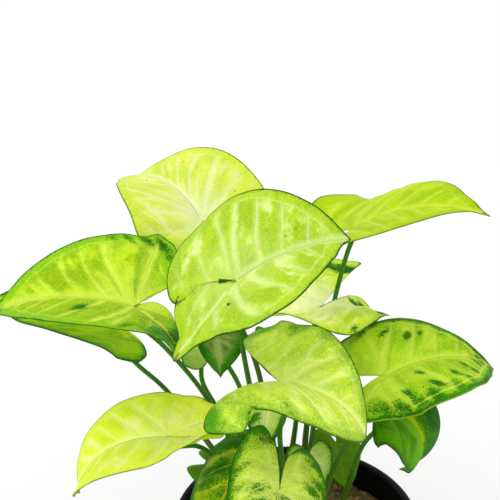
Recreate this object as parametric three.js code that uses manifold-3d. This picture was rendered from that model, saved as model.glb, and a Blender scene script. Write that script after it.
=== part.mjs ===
// Potted arrowhead plant: a nursery pot, its soil, and leaves that are each a blade on its own petiole.
// Millimetres and degrees, +Z up, the origin at the centre of the pot's underside.
import * as THREE from 'three'
import { mergeVertices } from 'three/addons/utils/BufferGeometryUtils.js'
import Module from 'manifold-3d'

const wasm = await Module()
wasm.setup()

const potHeight = 100
const rimRadius = 60
const footRadius = 43
const wall = 1.6
const rimWidth = 4.2
const rimDrop = 11
const potFloor = 2
const soilHeight = 87
const soilMound = 2
const clearance = 0.35 // between neighbouring pieces
const bladeThickness = 0.8
const stalk = {
  top: 1.15, foot: 2.3, taper: 1.6, // radii, and how soon the top one is reached
  sunk: 7, upright: 8, // below the soil's surface, and straight up above it
  seat: 2.5, neck: 8, // ahead of the joint, and from the blade to the first bend
}
const drain = { holes: 6, radius: 4, ring: 27, depth: 4 }
const potSegments = 48
const lobeReach = 1.1 // how far the row of frames goes back, in the longer lobe's length

// Pairs are [left, right] of the midrib. at is where the petiole joins, heading the tip's direction
// from above, pitch its fall. half is each half's width; lobes, spread, belly, taper, notch, sinus and
// lean vary the outline from outlinePoints. bend, sweep and twist turn the midrib towards the tip, droop
// drops the lobes; fold, curl and lift raise the halves. foot is where the petiole enters the soil, via
// the points it passes on the way down, and neck how far it turns square to the blade at the joint.
const leaves = {
  top: {
    at: [-28, -45, 252], heading: 8, pitch: -38, roll: 22,
    length: 50, half: [38, 39], lobe: 39, lobes: [0.72, 0.94], spread: [0, 0],
    belly: [1, 0], taper: [0.9, 0], sinus: [0.1, -0.6], lean: 9,
    bend: 45, droop: 22, sweep: -10, twist: 12, fold: [30, 26], curl: [-52, -6],
    lift: [-15, 10], wave: 1.2, phase: -140,
    foot: [-6, -4], via: [[-27, -8, 210], [-23, -7, 181], [-14, -5, 140]],
  },
  left: {
    at: [-73.5, -8, 221], heading: 185, pitch: -21, roll: -18,
    length: 68, half: [40, 42], lobe: 20, lobes: [1.27, 0.79], spread: [-0.1, 0.14],
    belly: [0, -0.7], sinus: [0.5, 0.6], lean: -4.5,
    bend: 54.5, droop: 7.5, sweep: 3, twist: -11, fold: [25, 16.5], curl: [14, -24.5],
    lift: [-19.5, 15], wave: 1.2, phase: -86,
    foot: [-15, -1], via: [[-61, 2, 194], [-41, 6, 161]],
  },
  leftUnder: {
    at: [-86, 12, 202], heading: 174, pitch: -14, roll: -8,
    length: 66, half: [38, 30], lobe: 20, lobes: [0.95, 0.4], spread: [0.1, 0],
    belly: [-1.2, 0],
    bend: 22, droop: 14, sweep: -7, twist: -3, fold: [16, 15], curl: [10, -17],
    lift: [-8, 0], wave: 1.6, phase: 122,
    foot: [-21, 7], via: [[-77, 16, 178], [-62, 18, 160]],
  },
  backLeft: {
    at: [-47, 58, 235], heading: 127, pitch: -35, roll: 0,
    length: 71, half: [37, 37], lobe: 22, lobes: [1, 1], spread: [0, 0],
    bend: 73, droop: 10, sweep: 9, twist: 6, fold: [12, 13], curl: [-19, 16], lift: [0, 0],
    wave: 3, phase: 122,
    foot: [-8, 10], via: [[-22, 34, 174], [-17, 28, 158]],
  },
  backRight: {
    at: [26, 38, 238], heading: -24, pitch: -40, roll: 10,
    length: 67, half: [40, 40], lobe: 25, lobes: [1, 1], spread: [0.15, 0],
    bend: 51, droop: 2, sweep: -4, twist: -5, fold: [10, 18], curl: [-34, -10],
    lift: [38, 0], wave: 2.4, phase: -67,
    foot: [4, 14], via: [[23.5, 37.3, 226], [19, 37.5, 204.8], [6, 28, 137]], neck: 0,
  },
  backMiddle: {
    at: [10, 27, 201.9], heading: 205, pitch: 2, roll: 6,
    length: 38, half: [36.5, 35], lobe: 30, lobes: [1.06, 1.05], spread: [-0.24, 0.38],
    sinus: [0, 2],
    bend: -13, droop: 33, sweep: -3, twist: 15, fold: [15, 24], curl: [-27, -14],
    lift: [1, 13], wave: 1.8, phase: -56,
    foot: [2, 4], via: [[9, 22, 143]],
  },
  lowLeft: {
    at: [-59, -36, 172], heading: 167, pitch: 6, roll: -5,
    length: 70, half: [38, 30], lobe: 28, lobes: [1, 1], spread: [0, 0], belly: [0, 1],
    taper: [1, 0.5], sinus: [0.2, 0.2],
    bend: 78, droop: -3, sweep: 5, twist: -30, fold: [15, 12], curl: [9, -22],
    lift: [36, 0], wave: 0.6, phase: -150,
    foot: [-14, -13], via: [[-46, -26, 160], [-38, -22, 150]],
  },
  middle: {
    at: [-9, -60, 214], heading: -9, pitch: -2, roll: -11,
    length: 46, half: [43, 39], lobe: 25, lobes: [0.93, 1], spread: [0.5, 0.55],
    belly: [-1, 0], notch: [0, 0.24],
    bend: 80, droop: 5, sweep: 8, twist: 32, fold: [11, 27], curl: [2, -44], lift: [-7, -9],
    wave: 1.6, phase: 58,
    foot: [-1, -16], via: [[-10, -42, 179], [-7, -30, 146]],
  },
  right: {
    at: [35.4, -30, 199], heading: 20, pitch: -22, roll: 4,
    length: 66, half: [36, 32], lobe: 28, lobes: [1, 0.85], spread: [0, 0.2],
    belly: [-1.2, 0], taper: [0.3, 0], sinus: [3, 0.3], lean: 5.5,
    bend: 72, droop: 13, sweep: 0, twist: 25, fold: [13, 15], curl: [-35, -15],
    lift: [0, 12], wave: 1.3, phase: 95,
    foot: [10, -6], via: [[21, -20, 157], [13, -12, 126]],
  },
  lowRight: {
    at: [39, -16, 174], heading: -7, pitch: 11, roll: 2,
    length: 49, half: [27, 27], lobe: 21, lobes: [0.5, 0.3], spread: [0, 0.1], belly: [0, 0.4],
    taper: [1.5, 0], notch: [0.2, 0], bend: 137, droop: 19, sweep: -10, twist: 27,
    fold: [18, 8], curl: [-15, -26], lift: [-30, -14], wave: 1.9, phase: -54,
    foot: [18, 2], via: [[30, -8, 148], [23, 0, 111]],
  },
  front: {
    at: [-11, -74, 172], heading: -95, pitch: 7, roll: -20,
    length: 47, half: [21, 21], lobe: 35, lobes: [0.9, 1.05], spread: [0, 0],
    bend: 5, droop: 12, sweep: 9, twist: 0, fold: [10, 9], curl: [-19, -42], lift: [-9, 20],
    wave: 1.4, phase: 191,
    foot: [7, -24], via: [[-6, -60, 142], [0, -44, 112]],
  },
  frontLeft: {
    at: [-27, -46, 162], heading: -126, pitch: 26, roll: 13,
    length: 38, half: [18, 25], lobe: 22, lobes: [0.7, 1], spread: [0, 0],
    bend: 24, droop: 15, sweep: 0, twist: -2, fold: [12, 8], curl: [-20, -35], lift: [0, 3],
    wave: 1.2, phase: -154,
    foot: [-8, -22], via: [[-18, -38, 138]],
  },
}
const youngLeaves = {
  farLeft: {
    at: [-41, 24, 113], heading: -20, pitch: 5, length: 22, half: [14, 14], lobe: 11,
    foot: [-20, 20], via: [[-32, 24, 104]],
  },
  hanging: {
    at: [-38, 2, 199], heading: -80, pitch: 40, length: 18, half: [13, 9], lobe: 12,
    foot: [-10, 3], via: [[-28, 6, 172]],
  },
  lobeLeft: {
    at: [-43, 26, 180], heading: 120, pitch: -35, length: 24, half: [15, 15], lobe: 9,
    foot: [-14, 12], via: [[-46, 22, 165], [-37, 20, 146]],
  },
  innerLeft: {
    at: [-15, -28, 184], heading: -110, pitch: 60, length: 24, half: [10, 10], lobe: 8,
    foot: [0, -9], via: [[-12, -22, 158]],
  },
  innerFront: {
    at: [4, -22, 151], heading: -75, pitch: 60, length: 22, half: [11, 11], lobe: 7,
    foot: [12, -14], via: [[4, -18, 134]],
  },
  innerRight: {
    at: [21, 27, 124], heading: -60, pitch: 50, length: 26, half: [13, 13], lobe: 10,
    foot: [12, 14], via: [[18, 23, 108]],
  },
  innerBack: {
    at: [-18.5, 49, 169], heading: -50, pitch: 35, length: 20, half: [11, 8], lobe: 9,
    foot: [-5, 22], via: [[0, 45, 150]],
  },
}
const youngShape = {
  roll: 0, lobes: [1, 1], spread: [0.1, 0.1],
  bend: 25, droop: 12, sweep: 0, twist: 4, fold: [12, 12], curl: [-25, -25],
  lift: [0, 0], wave: 0.8, phase: 60,
}
const usual = { belly: [0, 0], taper: [0, 0], notch: [0, 0], sinus: [1, 1], lean: 0, neck: 0.8 }
const marginWaves = 5
const farPhase = 1.7 // radians, so that the two margins don't wave alike

const colours = {
  lime: 0xa9cf2b,
  pale: 0xc3dc4c,
  green: 0x3f7d1c,
  petiole: 0x5f8428,
  pot: 0x1a1a1c,
  soil: 0x3a2a20,
}
const tone = {
  backLeft: 'pale', lowLeft: 'pale', lowRight: 'green', frontLeft: 'green',
  farLeft: 'green', hanging: 'green', innerRight: 'green', innerBack: 'green',
}

const rad = THREE.MathUtils.degToRad
const point = (p) => new THREE.Vector3(...p)
const shown = { metalness: 0 }

// Half outline from the tip to the sinus, in shares of the length, the lobe's length and the half width.
const outlinePoints = (belly, taper, notch, sinus) => [
  [1, 0, 0], [0.9, 0, 0.11 + 0.06 * belly], [0.75, 0, 0.36 + 0.1 * belly],
  [0.52, 0, 0.69 + 0.08 * belly], [0.28, 0, 0.92 + 0.05 * belly], [0.04, 0, 1],
  [0, -0.3, 0.99 - 0.2 * taper - notch], [0, -0.45 + 0.4 * notch, 0.95 - 0.3 * taper + 0.3 * notch],
  [0, -0.85, 0.72 - 0.3 * taper], [0, -1, 0.3 + 0.12 * sinus - 0.15 * taper],
  [0, -0.78, 0.17 * sinus], [0, -0.38, 0.05 * sinus], [-0.03, 0, 0],
]
const round = (a, b, c, d, f) =>
  0.5 * (2 * b + (c - a) * f + (2 * a - 5 * b + 4 * c - d) * f ** 2 + (3 * b - a - 3 * c + d) * f ** 3)

function outlineAt(leaf, side, t) {
  const s = side > 0 ? 0 : 1
  const shares = outlinePoints(leaf.belly[s], leaf.taper[s], leaf.notch[s], leaf.sinus[s])
  const pts = shares.map(([ahead, back, out]) => [
    ahead * leaf.length + back * leaf.lobe * leaf.lobes[s],
    (out - leaf.spread[s] * back) * leaf.half[s],
  ])
  const last = pts.length - 1
  const i = Math.min(Math.floor(t * last), last - 1)
  const before = i > 0 ? pts[i - 1] : [0, 1].map((k) => 2 * pts[0][k] - pts[1][k])
  const after = i + 2 <= last ? pts[i + 2] : [0, 1].map((k) => 2 * pts[last][k] - pts[last - 1][k])
  const [x, y] = [0, 1].map((k) => round(before[k], pts[i][k], pts[i + 1][k], after[k], t * last - i))
  const behind = THREE.MathUtils.clamp(-x / leaf.lobe, 0, 1)
  return [x, side * y + leaf.lean * Math.sin(Math.PI * behind)]
}

// The midrib as a row of frames, from the lobes' end through the joint to the tip.
function spineOf(leaf) {
  const [az, fall, roll] = [leaf.heading, leaf.pitch, leaf.roll].map(rad)
  const level = Math.cos(fall)
  const ahead = new THREE.Vector3(Math.cos(az) * level, Math.sin(az) * level, -Math.sin(fall))
  const left = new THREE.Vector3(-Math.sin(az), Math.cos(az), 0).applyAxisAngle(ahead, roll)
  const up = new THREE.Vector3().crossVectors(ahead, left)
  const start = { x: 0, at: point(leaf.at), ahead, left, up }
  const walk = (sign, steps, run, fallBy, sweepBy, twistBy) => {
    const frames = []
    let f = start
    for (let i = 1; i <= steps; i++) {
      const half = (g) => {
        const [a, l, u] = [g.ahead.clone(), g.left.clone(), g.up.clone()]
        for (const v of [a, u]) v.applyAxisAngle(l, rad(fallBy) / steps / 2)
        for (const v of [a, l]) v.applyAxisAngle(u, rad(sweepBy) / steps / 2)
        for (const v of [l, u]) v.applyAxisAngle(a, rad(twistBy) / steps / 2)
        return { ...g, ahead: a, left: l, up: u }
      }
      f = half(f)
      const at = f.at.clone().addScaledVector(f.ahead, (sign * run) / steps)
      f = { ...f, x: (sign * run * i) / steps, at }
      f = half(f)
      frames.push(f)
    }
    return frames
  }
  const reach = lobeReach * Math.max(...leaf.lobes)
  const back = walk(-1, 12, leaf.lobe * reach, -leaf.droop * reach, 0, 0)
  return [...back.reverse(), start, ...walk(1, 24, leaf.length, leaf.bend, leaf.sweep, leaf.twist)]
}

function surfaceAt(leaf, spine, x, y, rho = 0, t = 0, side = 1) {
  let i = spine.findIndex((f) => f.x >= x)
  i = i < 0 ? spine.length - 1 : Math.max(i, 1)
  const [a, b] = [spine[i - 1], spine[i]]
  const k = THREE.MathUtils.clamp((x - a.x) / (b.x - a.x), 0, 1)
  const mix = (name) => a[name].clone().lerp(b[name], k)
  const s = y >= 0 ? 0 : 1
  const out = Math.abs(y)
  const behind = THREE.MathUtils.clamp(-x / leaf.lobe, 0, 1.2) ** 2
  const fold = rad(leaf.fold[s] + leaf.lift[s] * behind)
  const bow = (rad(leaf.curl[s]) / leaf.half[s]) * (out / 2)
  const chord = out * (Math.abs(bow) > 1e-6 ? Math.sin(bow) / bow : 1)
  const fade = Math.min(1, 4 * t) * Math.min(1, 4 * (1 - t))
  const swing = Math.PI * marginWaves * t + rad(leaf.phase) + (side < 0 ? farPhase : 0)
  const ripple = leaf.wave * rho ** 2 * fade * Math.sin(swing)
  return mix('at')
    .addScaledVector(mix('left').normalize(), chord * Math.cos(fold + bow) * (s ? -1 : 1))
    .addScaledVector(mix('up').normalize(), chord * Math.sin(fold + bow) + ripple)
}

function solidFrom(positions, triangles) {
  return new wasm.Manifold(new wasm.Mesh({
    numProp: 3,
    vertProperties: new Float32Array(positions.flatMap((p) => [p.x, p.y, p.z])),
    triVerts: new Uint32Array(triangles.flat()),
  }))
}

function blade(leaf, thickness, rays, rings) {
  const spine = spineOf(leaf)
  const mid = [surfaceAt(leaf, spine, 0, 0)]
  for (let j = 1; j <= rings; j++) {
    for (let k = 0; k < 2 * rays; k++) {
      const side = k <= rays ? 1 : -1
      const t = (side > 0 ? k : 2 * rays - k) / rays
      const [x, y] = outlineAt(leaf, side, t)
      mid.push(surfaceAt(leaf, spine, (x * j) / rings, (y * j) / rings, j / rings, t, side))
    }
  }
  const at = (j, k) => (j === 0 ? 0 : 1 + (j - 1) * 2 * rays + (k % (2 * rays)))
  const faces = []
  for (let k = 0; k < 2 * rays; k++) {
    faces.push([0, at(1, k), at(1, k + 1)])
    for (let j = 1; j < rings; j++) {
      faces.push([at(j, k), at(j + 1, k), at(j + 1, k + 1)], [at(j, k), at(j + 1, k + 1), at(j, k + 1)])
    }
  }
  const normals = mid.map(() => new THREE.Vector3())
  for (const f of faces) {
    const [a, b, c] = f.map((i) => mid[i])
    const n = b.clone().sub(a).cross(c.clone().sub(a))
    for (const i of f) normals[i].add(n)
  }
  const count = mid.length
  const above = mid.map((p, i) => p.clone().addScaledVector(normals[i].normalize(), thickness / 2))
  const below = mid.map((p, i) => p.clone().addScaledVector(normals[i], -thickness / 2))
  const under = faces.map(([a, b, c]) => [a + count, c + count, b + count])
  const edge = []
  for (let k = 0; k < 2 * rays; k++) {
    const [a, b] = [at(rings, k), at(rings, k + 1)]
    edge.push([a, a + count, b + count], [a, b + count, b])
  }
  return solidFrom([...above, ...below], [...faces, ...under, ...edge])
}

function petiole(leaf, steps, rays, rings, sides = 8) {
  const spine = spineOf(leaf)
  const { up } = spine.find((f) => f.x === 0)
  const seat = surfaceAt(leaf, spine, stalk.seat, 0)
  const down = point(leaf.via[0]).sub(seat).normalize().addScaledVector(up, -leaf.neck).normalize()
  const neck = seat.clone().addScaledVector(down, stalk.neck)
  const through = seat.clone().addScaledVector(up, 2)
  const foot = point([...leaf.foot, soilHeight + soilMound])
  const upright = foot.clone().setZ(foot.z + stalk.upright)
  const path = new THREE.CatmullRomCurve3([foot, upright, ...leaf.via.map(point).reverse(), neck, through])
  const { normals, binormals } = path.computeFrenetFrames(steps)
  const hoops = []
  for (let i = -1; i <= steps; i++) {
    const along = Math.max(i, 0)
    const slim = Math.sqrt(Math.min(1, (along / steps) * stalk.taper))
    const r = THREE.MathUtils.lerp(stalk.foot, stalk.top, slim)
    const centre = path.getPointAt(along / steps)
    if (i < 0) centre.z -= stalk.sunk
    for (let k = 0; k < sides; k++) {
      const a = (2 * Math.PI * k) / sides
      const rim = centre.clone().addScaledVector(normals[along], r * Math.cos(a))
      hoops.push(rim.addScaledVector(binormals[along], r * Math.sin(a)))
    }
  }
  const skin = []
  for (let i = 0; i <= steps; i++) {
    for (let k = 0; k < sides; k++) {
      const [a, b] = [i * sides + k, i * sides + ((k + 1) % sides)]
      skin.push([a, b, b + sides], [a, b + sides, a + sides])
    }
  }
  for (let k = 1; k < sides - 1; k++) {
    const end = (steps + 1) * sides
    skin.push([0, k + 1, k], [end, end + k, end + k + 1])
  }
  const tube = solidFrom(hoops, skin)
  const cut = tube.subtract(blade(leaf, bladeThickness + 2.4 * clearance, rays, rings))
  return cut.decompose().sort((p, q) => q.volume() - p.volume())[0]
}

function solidOf(geometry) {
  geometry.deleteAttribute('normal')
  geometry.deleteAttribute('uv')
  const { attributes, index } = mergeVertices(geometry, 1e-3)
  const whole = []
  for (let i = 0; i < index.count; i += 3) {
    const [a, b, c] = [0, 1, 2].map((k) => index.getX(i + k))
    if (a !== b && b !== c && c !== a) whole.push(a, b, c)
  }
  return new wasm.Manifold(new wasm.Mesh({
    numProp: 3,
    vertProperties: new Float32Array(attributes.position.array),
    triVerts: new Uint32Array(whole),
  }))
}

function lathe(profile) {
  const turned = new THREE.LatheGeometry(profile.map(([r, z]) => new THREE.Vector2(r, z)), potSegments)
  return solidOf(turned.rotateX(Math.PI / 2))
}

function bore(radius, depth, sides, x, y, z) {
  const post = new THREE.CylinderGeometry(radius, radius, depth, sides)
  return solidOf(post.rotateX(Math.PI / 2).translate(x, y, z + depth / 2))
}

const outerAt = (z) => footRadius + ((rimRadius - rimWidth - footRadius + wall) * z) / potHeight
const innerAt = (z) => outerAt(z) - wall

function pot() {
  const lip = potHeight - rimDrop
  const body = lathe([
    [0, 0], [footRadius - 1.5, 0], [footRadius, 1.5],
    [outerAt(lip), lip], [rimRadius - 0.6, lip], [rimRadius, lip + 0.6],
    [rimRadius, potHeight - 1.4], [rimRadius - 0.5, potHeight - 0.4], [rimRadius - 1.4, potHeight],
    [rimRadius - rimWidth + 1.4, potHeight], [rimRadius - rimWidth + 0.4, potHeight - 0.4],
    [rimRadius - rimWidth, potHeight - 1.4],
    [innerAt(lip), lip], [innerAt(potFloor), potFloor], [0, potFloor],
  ])
  let drained = body
  for (let i = 0; i < drain.holes; i++) {
    const a = (2 * Math.PI * i) / drain.holes
    const [x, y] = [drain.ring * Math.cos(a), drain.ring * Math.sin(a)]
    drained = drained.subtract(bore(drain.radius, drain.depth, 16, x, y, -1))
  }
  return drained
}

function soil(all) {
  const bottom = potFloor + clearance
  let body = lathe([
    [0, bottom], [innerAt(bottom) - clearance, bottom], [innerAt(soilHeight) - clearance, soilHeight],
    [44, soilHeight + soilMound * 0.2], [30, soilHeight + soilMound * 0.8], [0, soilHeight + soilMound],
  ])
  for (const leaf of Object.values(all)) {
    const sunk = soilHeight + soilMound - stalk.sunk - clearance
    body = body.subtract(bore(stalk.foot + clearance + 0.1, 20, 12, ...leaf.foot, sunk))
  }
  return body
}

function shownMesh(name, solid, colour, roughness, [x, y, z] = [0, 0, 0]) {
  const { vertProperties, triVerts, numProp } = solid.getMesh()
  const geometry = new THREE.BufferGeometry()
  const positions = new Float32Array((vertProperties.length / numProp) * 3)
  for (let i = 0; i < positions.length / 3; i++) {
    for (let k = 0; k < 3; k++) positions[3 * i + k] = vertProperties[numProp * i + k]
  }
  geometry.setAttribute('position', new THREE.BufferAttribute(positions, 3))
  geometry.setIndex(new THREE.BufferAttribute(new Uint32Array(triVerts), 1))
  geometry.translate(-x, -y, -z)
  geometry.computeVertexNormals()
  const material = new THREE.MeshStandardMaterial({ ...shown, color: colour, roughness })
  const mesh = new THREE.Mesh(geometry, material)
  mesh.name = name
  return mesh
}

const plant = new THREE.Group()
plant.name = 'arrowhead_plant'
const all = {}
for (const [name, leaf] of Object.entries(leaves)) all[name] = { ...usual, ...leaf }
for (const [name, leaf] of Object.entries(youngLeaves)) all[name] = { ...usual, ...youngShape, ...leaf }
plant.add(shownMesh('pot', pot(), colours.pot, 0.45))
plant.add(shownMesh('soil', soil(all), colours.soil, 0.95))
for (const [name, leaf] of Object.entries(all)) {
  const [rays, rings, steps] = name in leaves ? [16, 5, 12] : [10, 3, 9]
  const colour = colours[tone[name] ?? 'lime']
  const grown = new THREE.Group()
  grown.name = name
  grown.position.set(...leaf.at)
  grown.add(shownMesh(`${name}_blade`, blade(leaf, bladeThickness, rays, rings), colour, 0.4, leaf.at))
  grown.add(shownMesh(`${name}_petiole`, petiole(leaf, steps, rays, rings), colours.petiole, 0.5, leaf.at))
  plant.add(grown)
}

export default plant
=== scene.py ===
import math

import bpy
import numpy as np
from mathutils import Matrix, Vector


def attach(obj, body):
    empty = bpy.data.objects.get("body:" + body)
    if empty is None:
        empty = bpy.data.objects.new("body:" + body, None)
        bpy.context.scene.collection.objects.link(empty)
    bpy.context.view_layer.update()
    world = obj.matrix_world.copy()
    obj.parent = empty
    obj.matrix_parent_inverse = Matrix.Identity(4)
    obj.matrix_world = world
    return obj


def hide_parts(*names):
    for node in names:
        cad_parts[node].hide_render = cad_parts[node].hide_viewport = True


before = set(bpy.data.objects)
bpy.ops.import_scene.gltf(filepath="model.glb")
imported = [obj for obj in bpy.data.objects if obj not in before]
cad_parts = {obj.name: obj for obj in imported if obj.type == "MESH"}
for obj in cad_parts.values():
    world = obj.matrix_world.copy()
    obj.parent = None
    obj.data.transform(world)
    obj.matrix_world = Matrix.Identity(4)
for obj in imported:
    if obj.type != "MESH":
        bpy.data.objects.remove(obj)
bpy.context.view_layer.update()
mm = 0.001
scene = bpy.context.scene
print("frame loaded")


class Value:  # an output socket; sums on it add Math nodes
    def __init__(self, skin, socket):
        self.skin = skin
        self.socket = socket

    def maths(self, operation, *numbers):
        return self.skin.node("ShaderNodeMath", {"operation": operation}, dict(enumerate(numbers)))

    def out(self, name):
        return Value(self.skin, self.socket.node.outputs[name])

    def __add__(self, other):
        return self.maths("ADD", self, other)

    def __sub__(self, other):
        return self.maths("SUBTRACT", self, other)

    def __rsub__(self, other):
        return self.maths("SUBTRACT", other, self)

    def __mul__(self, other):
        return self.maths("MULTIPLY", self, other)

    def __abs__(self):
        return self.maths("ABSOLUTE", self)

    __radd__ = __add__
    __rmul__ = __mul__


class Skin:  # one material and its nodes
    def __init__(self, name, colour):
        self.colour = colour
        self.material = bpy.data.materials.new(name)
        self.material.use_nodes = True
        self.tree = self.material.node_tree
        self.tree.nodes.clear()

    def node(self, kind, settings, sockets, out=0):
        made = self.tree.nodes.new(kind)
        for key, value in settings.items():
            setattr(made, key, value)
        for key, value in sockets.items():
            if isinstance(value, Value):
                self.tree.links.new(value.socket, made.inputs[key])
            elif made.inputs[key].type == "RGBA":
                made.inputs[key].default_value = (*value, 1)
            else:
                made.inputs[key].default_value = value
        return Value(self, made.outputs[out] if made.outputs else None)

    def mark(self, name):  # a mesh attribute's three numbers
        vector = self.node("ShaderNodeAttribute", {"attribute_name": name}, {}, "Vector")
        x = self.node("ShaderNodeSeparateXYZ", {}, {0: vector})
        return x, x.out("Y"), x.out("Z")

    def vector(self, x, y, z):
        return self.node("ShaderNodeCombineXYZ", {}, {0: x, 1: y, 2: z})

    def length(self, vector):
        return self.node("ShaderNodeVectorMath", {"operation": "LENGTH"}, {0: vector}, "Value")

    def rise(self, value, low, high, least=0.0, most=1.0):  # a soft step, down where low is above high
        ends = {"Value": value, "From Min": low, "From Max": high, "To Min": least, "To Max": most}
        return self.node("ShaderNodeMapRange", {"interpolation_type": "SMOOTHSTEP"}, ends)

    def noise(self, at, scale, detail, roughness=0.5, distortion=0.0):
        look = {"Scale": scale, "Detail": detail, "Roughness": roughness, "Distortion": distortion}
        return self.node("ShaderNodeTexNoise", {}, {"Vector": at, **look}, "Fac")

    def cells(self, at, scale, feature="F1"):
        sockets = {"Vector": at, "Scale": scale}
        return self.node("ShaderNodeTexVoronoi", {"feature": feature}, sockets, "Distance")

    def blend(self, mask, under, over, mode="MIX"):
        settings = {"data_type": "RGBA", "blend_type": mode}
        return self.node("ShaderNodeMix", settings, {0: mask, 6: under, 7: over}, 2)

    def paint(self, mask, tint, mode="MIX"):  # one more layer over the colour so far
        self.colour = self.blend(mask, self.colour, tint, mode)

    def shade(self, amount):  # makes the colour so far darker or lighter
        self.paint(1.0, self.vector(amount, amount, amount), "MULTIPLY")

    def bump(self, height, strength, distance):
        return self.node("ShaderNodeBump", {}, {"Height": height, "Strength": strength, "Distance": distance})

    def finish(self, sockets):
        shader = self.node("ShaderNodeBsdfPrincipled", {}, {"Base Color": self.colour, **sockets})
        self.node("ShaderNodeOutputMaterial", {}, {"Surface": shader})
        return self.material


def smooth(value, low, high):
    k = np.clip((value - low) / (high - low), 0, 1)
    return k * k * (3 - 2 * k)


def addPiece(name, points, faces, material, nodes=(), marks=None):  # points in mm
    mesh = bpy.data.meshes.new(name)
    mesh.from_pydata((np.asarray(points) * mm).tolist(), [], faces)
    for key, values in (marks or {}).items():
        mesh.attributes.new(key, "FLOAT_VECTOR", "POINT").data.foreach_set("vector", np.ravel(values))
    mesh.shade_smooth()
    mesh.materials.append(material)
    piece = bpy.data.objects.new(name, mesh)
    scene.collection.objects.link(piece)
    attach(piece, "root")
    if nodes:
        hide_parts(*nodes)
    return piece


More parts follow.
